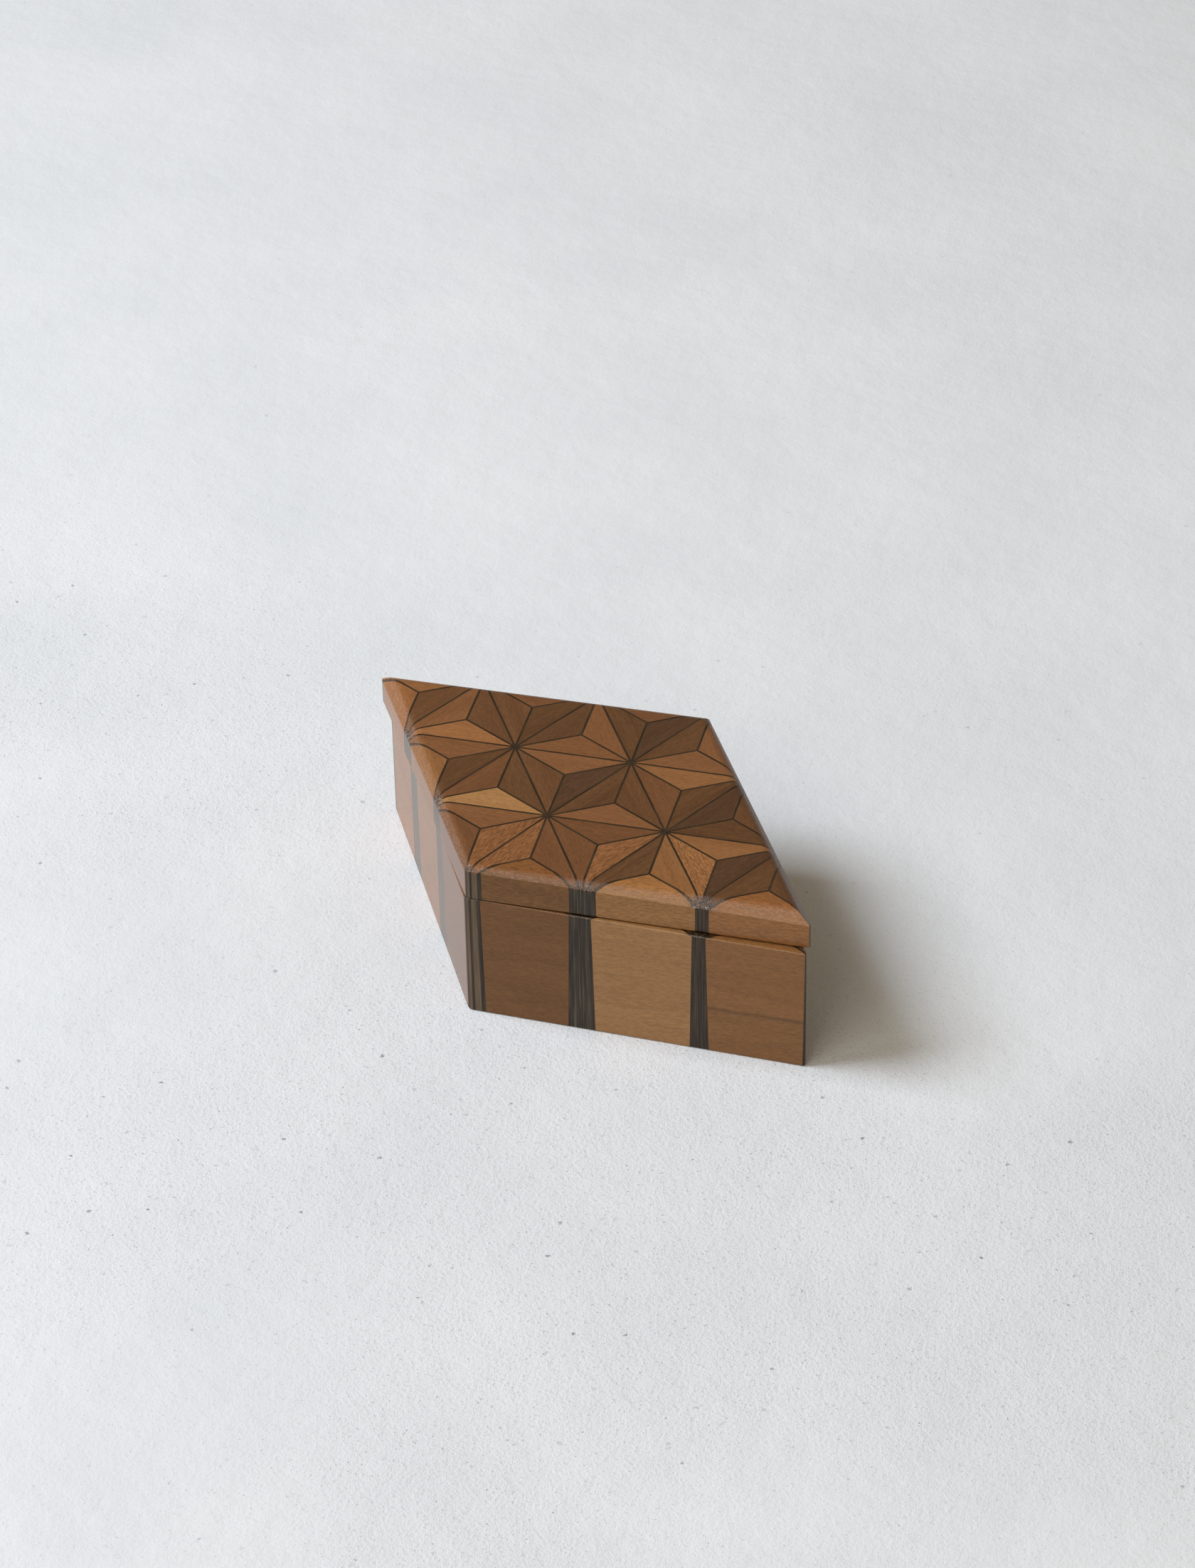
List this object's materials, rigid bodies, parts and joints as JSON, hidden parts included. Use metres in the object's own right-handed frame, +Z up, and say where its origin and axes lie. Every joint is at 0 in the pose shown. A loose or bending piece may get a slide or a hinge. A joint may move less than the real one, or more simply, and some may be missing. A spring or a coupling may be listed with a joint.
{
  "type": "wooden puzzle box",
  "caption": "Small rhombic wooden puzzle box with hemp-leaf parquetry, a swivelling lid on a hidden dowel and a gravity lock pin.",
  "frame": {"origin": "centre of the body's underside, where the box rests", "axes": "+Z up, from the underside to the lid; +X along the front and back faces; +Y from the front face to the back face"},
  "size_m": [0.097, 0.0563, 0.0334],
  "materials": {
    "light_wood": "golden hardwood, satin lacquer",
    "mid_wood": "mid brown hardwood, satin lacquer",
    "red_wood": "reddish brown hardwood, satin lacquer",
    "dark_wood": "dark brown hardwood, satin lacquer",
    "dyed_veneer": "thin veneer dyed dark brown, satin lacquer",
    "plain_board": "plain board, sanded, unlacquered",
    "block_wood": "plain hardwood, sanded, unlacquered",
    "dowel_wood": "turned birch, waxed",
    "steel": "turned steel pin",
    "brass": "stamped brass disc"
  },
  "bodies": {
    "box_body": {"body_tile_front_left_near": "dark_wood", "body_tile_front_left_far": "dark_wood", "body_tile_front_centre_near": "mid_wood", "body_tile_front_centre_far": "light_wood", "body_tile_front_right_near": "red_wood", "body_tile_front_right_far": "light_wood", "body_tile_middle_left_near": "mid_wood", "body_tile_middle_left_far": "light_wood", "body_tile_middle_right_near": "mid_wood", "body_tile_middle_right_far": "light_wood", "body_tile_back_left_near": "mid_wood", "body_tile_back_left_far": "light_wood", "body_tile_back_centre_near": "mid_wood", "body_tile_back_centre_far": "light_wood", "body_tile_back_right_near": "mid_wood", "body_tile_back_right_far": "light_wood", "body_grid_veneers": "dyed_veneer", "body_star_veneers": "dyed_veneer", "bottom_board": "plain_board", "pivot_block": "block_wood", "lock_block": "block_wood"},
    "lid": {"lid_tile_front_left_near": "mid_wood", "lid_tile_front_left_far": "light_wood", "lid_tile_front_centre_near": "mid_wood", "lid_tile_front_centre_far": "dark_wood", "lid_tile_front_right_near": "mid_wood", "lid_tile_front_right_far": "light_wood", "lid_tile_middle_left_near": "mid_wood", "lid_tile_middle_left_far": "light_wood", "lid_tile_middle_centre_near": "mid_wood", "lid_tile_middle_centre_far": "light_wood", "lid_tile_middle_right_near": "mid_wood", "lid_tile_middle_right_far": "dark_wood", "lid_tile_back_left_near": "mid_wood", "lid_tile_back_left_far": "light_wood", "lid_tile_back_centre_near": "mid_wood", "lid_tile_back_centre_far": "light_wood", "lid_tile_back_right_near": "red_wood", "lid_tile_back_right_far": "light_wood", "lid_grid_veneers": "dyed_veneer", "lid_star_veneers": "dyed_veneer", "lid_core": "plain_board", "pivot_dowel": "dowel_wood", "dowel_collar": "dowel_wood", "pin_keeper": "brass"},
    "lock_pin": {"lock_pin": "steel"}
  },
  "joints": [
    {"name": "lid_swivel", "type": "hinge", "parent": "box_body", "child": "lid", "pos_m": [-0.00821, -0.01421, 0.026], "axis": [0, 0, 1], "range_deg": [-1.6, 148.4]},
    {"name": "lock_pin_drop", "type": "slide", "parent": "lid", "child": "lock_pin", "axis": [0, 0, 1], "range_m": [-0.0022, 0]}
  ]
}
